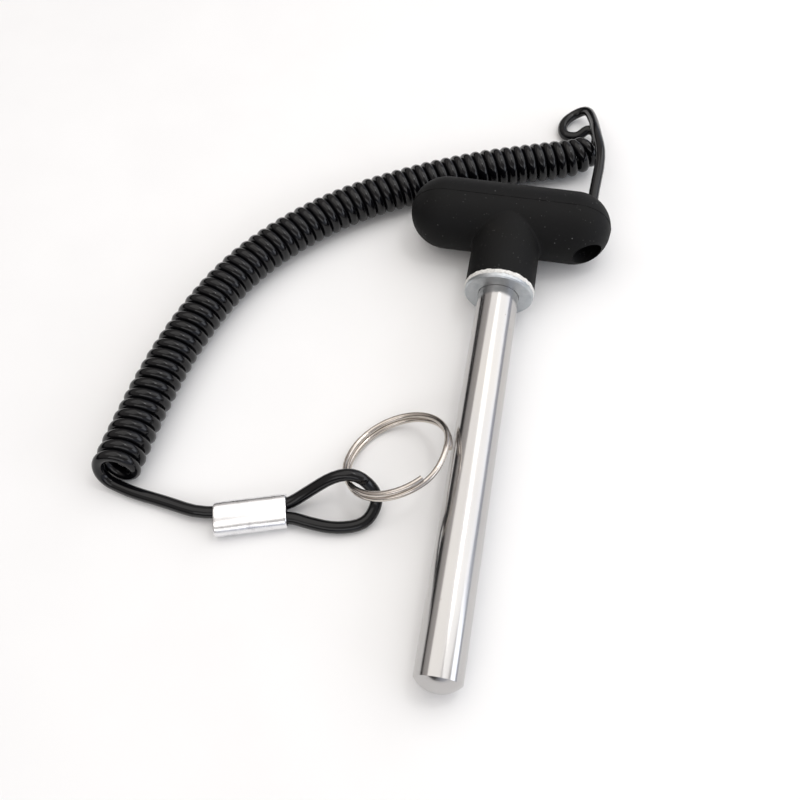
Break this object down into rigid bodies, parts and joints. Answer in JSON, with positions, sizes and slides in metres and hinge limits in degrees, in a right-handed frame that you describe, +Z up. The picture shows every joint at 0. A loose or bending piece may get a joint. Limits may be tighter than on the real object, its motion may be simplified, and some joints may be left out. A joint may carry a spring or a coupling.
{
  "type": "magnetic hitch pin with coiled lanyard",
  "caption": "T-handled chrome hitch pin held in its hole by a ring magnet, with a coiled cord lanyard that ends in a crimped eye and a swinging split ring.",
  "frame": {"origin": "the point where the pin's axis crosses the magnet's outer face", "axes": "+X along the handle towards the end the lanyard leaves, +Z up from the surface the part lies on, the pin pointing towards -Y and sloping down 2.24 degrees to its tip"},
  "size_m": [0.1388, 0.214, 0.024],
  "materials": {
    "pin_chrome": "polished",
    "inner_steel": "plain",
    "grip_rubber": "matte",
    "magnet_zinc": "satin zinc plate",
    "glue": "matte",
    "cord_plastic": "gloss",
    "crimp_aluminium": "bright",
    "crimp_black": "blackened",
    "ring_nickel": "nickel plate"
  },
  "bodies": {
    "pin_and_lanyard": {"pin_shank": "pin_chrome", "anchor_crossbar": "inner_steel", "t_handle_grip": "grip_rubber", "ring_magnet": "magnet_zinc", "magnet_glue_bead": "glue", "magnet_seat_washer": "inner_steel", "cord_stop_sleeve": "crimp_black", "lanyard_lead": "cord_plastic", "lanyard_coil": "cord_plastic", "lanyard_tail": "cord_plastic", "eye_sleeve": "crimp_aluminium"},
    "ring": {"split_ring": "ring_nickel"}
  },
  "joints": [
    {"name": "ring_swing", "type": "hinge", "parent": "pin_and_lanyard", "child": "ring", "pos_m": [-0.03397, -0.06573, -0.00452], "axis": [0.3741, -0.8032, 0.4637], "range_deg": [0, 145]}
  ]
}
